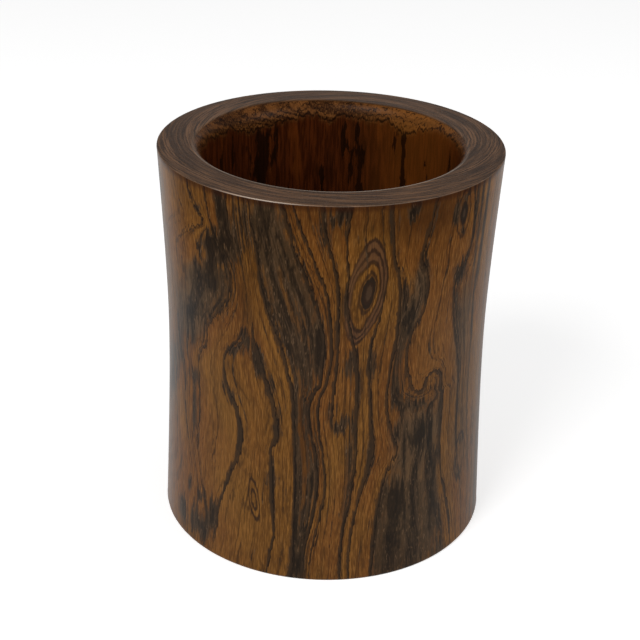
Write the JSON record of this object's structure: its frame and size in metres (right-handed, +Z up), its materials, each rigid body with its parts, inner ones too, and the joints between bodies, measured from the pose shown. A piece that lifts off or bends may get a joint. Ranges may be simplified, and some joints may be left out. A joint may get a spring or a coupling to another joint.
{
  "type": "brush pot",
  "caption": "Waisted cylindrical wooden brush pot with a thick flat rim, a rounded lip around a deep round well, and a plugged board let into the foot.",
  "frame": {"origin": "centre of the foot ring, on the surface that the pot stands on", "axes": "+Z up along the turning axis; the side seen from -Y shows the large knot figure"},
  "size_m": [0.14, 0.14, 0.165],
  "materials": {
    "wall_wood": "dark figured hardwood, waxed and polished to a soft gloss",
    "base_wood": "the same hardwood, plain sanded and waxed",
    "plug_wood": "darker end-grain hardwood, sanded and waxed",
    "pin_bamboo": "bare split bamboo"
  },
  "bodies": {
    "root": {"turned_wall": "wall_wood", "base_board": "base_wood", "centre_plug": "plug_wood", "base_pin_1": "pin_bamboo", "base_pin_2": "pin_bamboo", "base_pin_3": "pin_bamboo", "base_pin_4": "pin_bamboo"}
  },
  "joints": []
}
